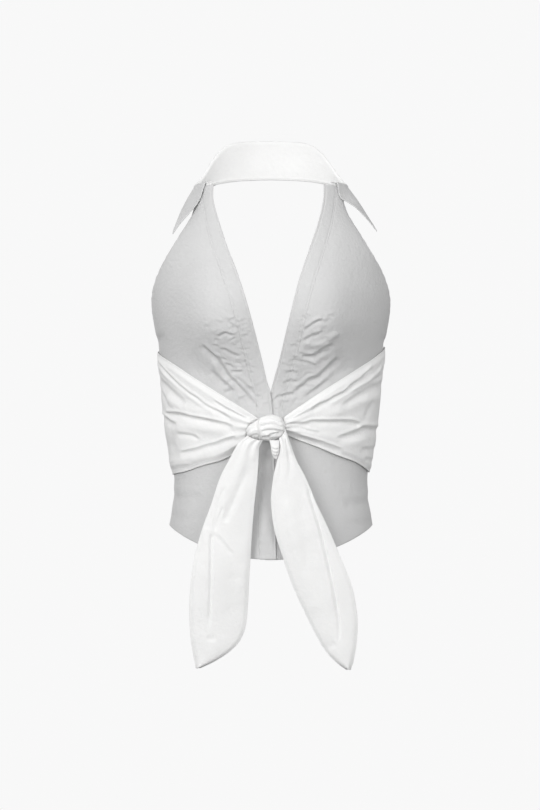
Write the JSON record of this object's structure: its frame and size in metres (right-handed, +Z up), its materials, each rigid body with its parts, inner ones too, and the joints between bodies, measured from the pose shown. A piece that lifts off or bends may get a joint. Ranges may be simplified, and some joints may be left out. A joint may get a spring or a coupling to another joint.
{
  "type": "halter neck top",
  "caption": "Sleeveless white cotton halter top with a pointed collar, a deep V front and two ties knotted at the waist.",
  "frame": {"origin": "middle of the neck opening, level with the seam between collar and straps, where the neck holds the garment", "axes": "+Z up along the wearer's spine, -Y towards the garment's front, +X to the wearer's left"},
  "size_m": [0.312, 0.216, 0.6882],
  "materials": {
    "body_cotton": "matt plain weave",
    "white_cotton": "matt plain weave"
  },
  "bodies": {
    "root": {"front_right": "body_cotton", "front_left": "body_cotton", "band_right": "body_cotton", "band_left": "body_cotton", "back": "body_cotton", "collar_stand": "white_cotton", "collar_leaf": "white_cotton", "tie_wrap_right": "white_cotton", "tie_wrap_left": "white_cotton", "knot": "white_cotton", "tie_tail_right": "white_cotton", "tie_tail_left": "white_cotton"}
  },
  "joints": []
}
